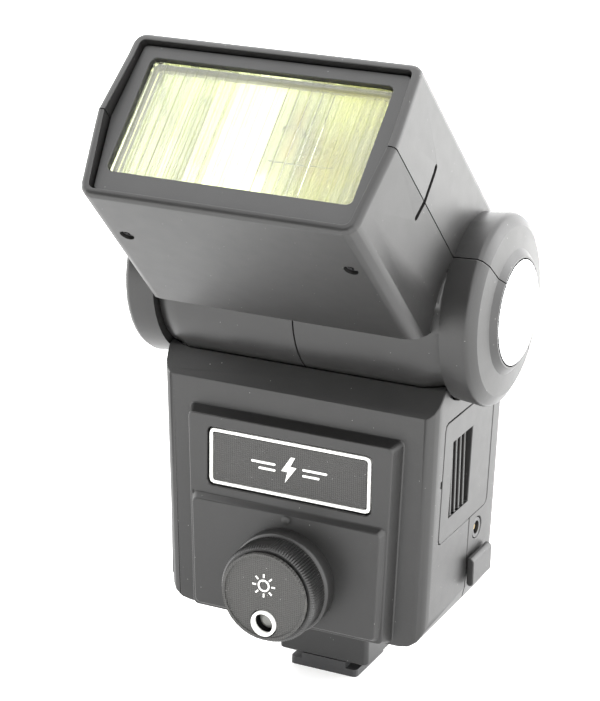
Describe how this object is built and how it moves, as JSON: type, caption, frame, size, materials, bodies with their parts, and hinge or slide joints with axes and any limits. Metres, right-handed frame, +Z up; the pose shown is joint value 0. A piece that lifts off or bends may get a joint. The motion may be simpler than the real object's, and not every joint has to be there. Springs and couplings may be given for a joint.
{
  "type": "speedlight flash",
  "caption": "Shoe-mounted electronic flash with a tilting lamp head between side drums, a plug-in light sensor with a mode ring and a hinged battery door.",
  "frame": {"origin": "middle of the underside of the hot-shoe foot", "axes": "+X to the right of someone facing the lamp, the lamp faces -Y, +Z up; stored with the head tilted up 45 degrees"},
  "size_m": [0.0984, 0.0893, 0.1671],
  "materials": {
    "black_plastic": "fine-textured matte black",
    "deep_black_plastic": "matte deep black",
    "satin_black_plastic": "satin black",
    "white_paint": "white",
    "brushed_aluminium": "spun satin aluminium",
    "reflector_metal": "polished",
    "window_plastic": "clear, faintly yellow-green",
    "clear_glass": "clear",
    "steel": "plated",
    "brass": "plain",
    "copper": "wound wire",
    "board": "green laminate",
    "capacitor_sleeve": "dark shrink sleeve",
    "cell_jacket": "printed jacket",
    "amber_lens": "glossy",
    "green_lens": "glossy",
    "ivory_card": "printed card"
  },
  "bodies": {
    "housing": {"ac_socket": "deep_black_plastic", "battery_cell_1": "cell_jacket", "battery_cell_2": "cell_jacket", "battery_cell_3": "cell_jacket", "battery_cell_4": "cell_jacket", "battery_clip": "satin_black_plastic", "battery_contact_plate": "brass", "body_screw_1": "steel", "body_screw_2": "steel", "body_screw_3": "steel", "body_screw_4": "steel", "check_light_lens": "green_lens", "circuit_board": "board", "contact_pin": "brass", "detent_plate": "steel", "foot_block": "deep_black_plastic", "front_cover": "black_plastic", "hinge_barrel_left": "black_plastic", "hinge_barrel_right": "black_plastic", "main_capacitor": "capacitor_sleeve", "nameplate": "deep_black_plastic", "nameplate_frame": "white_paint", "ready_light_lens": "amber_lens", "rear_cover": "black_plastic", "sensor_socket": "deep_black_plastic", "shoe_foot": "satin_black_plastic", "sync_pin": "brass", "sync_socket": "steel", "thyristor": "satin_black_plastic", "transformer": "copper"},
    "head": {"head_top_shell": "black_plastic", "head_bottom_shell": "black_plastic", "lens_bezel": "deep_black_plastic", "fresnel_lens": "window_plastic", "reflector": "reflector_metal", "flash_tube": "clear_glass", "tube_cap_lower": "steel", "tube_cap_upper": "steel", "trigger_coil": "copper", "head_screw_left": "steel", "head_screw_right": "steel", "side_disc_right": "brushed_aluminium", "dial_scale_left": "ivory_card", "dial_hub": "brushed_aluminium", "detent_spring": "steel"},
    "dial": {"calculator_dial": "satin_black_plastic"},
    "sensor": {"sensor_body": "deep_black_plastic", "sensor_face": "satin_black_plastic", "eye_ring": "white_paint", "eye_lens": "clear_glass"},
    "mode_ring": {"mode_ring": "black_plastic"},
    "door": {"battery_door": "black_plastic"},
    "flap": {"socket_flap": "black_plastic"},
    "switch": {"power_switch": "satin_black_plastic"},
    "button": {"test_button": "satin_black_plastic"}
  },
  "joints": [
    {"name": "head_tilt", "type": "hinge", "parent": "housing", "child": "head", "pos_m": [0, -0.008, 0.1035], "axis": [-1, 0, 0], "range_deg": [-45, 45]},
    {"name": "calculator_turn", "type": "hinge", "parent": "head", "child": "dial", "pos_m": [-0.049, -0.008, 0.1035], "axis": [-1, 0, 0], "range_deg": [-90, 90]},
    {"name": "sensor_pull", "type": "slide", "parent": "housing", "child": "sensor", "axis": [0, -1, 0], "range_m": [0, 0.012]},
    {"name": "mode_turn", "type": "hinge", "parent": "sensor", "child": "mode_ring", "pos_m": [0.0006, -0.04, 0.0354], "axis": [0, -1, 0], "range_deg": [-120, 120]},
    {"name": "door_swing", "type": "hinge", "parent": "housing", "child": "door", "pos_m": [0.0347, 0.005, 0.0621], "axis": [0, 0, 1], "range_deg": [0, 100]},
    {"name": "flap_swing", "type": "hinge", "parent": "housing", "child": "flap", "pos_m": [0.0363, 0.004, 0.0293], "axis": [0, 1, 0], "range_deg": [0, 110]},
    {"name": "power_slide", "type": "slide", "parent": "housing", "child": "switch", "axis": [1, 0, 0], "range_m": [0, 0.008]},
    {"name": "test_press", "type": "slide", "parent": "housing", "child": "button", "axis": [0, -1, 0], "range_m": [0, 0.0012], "stiffness_N_per_m": 300}
  ]
}
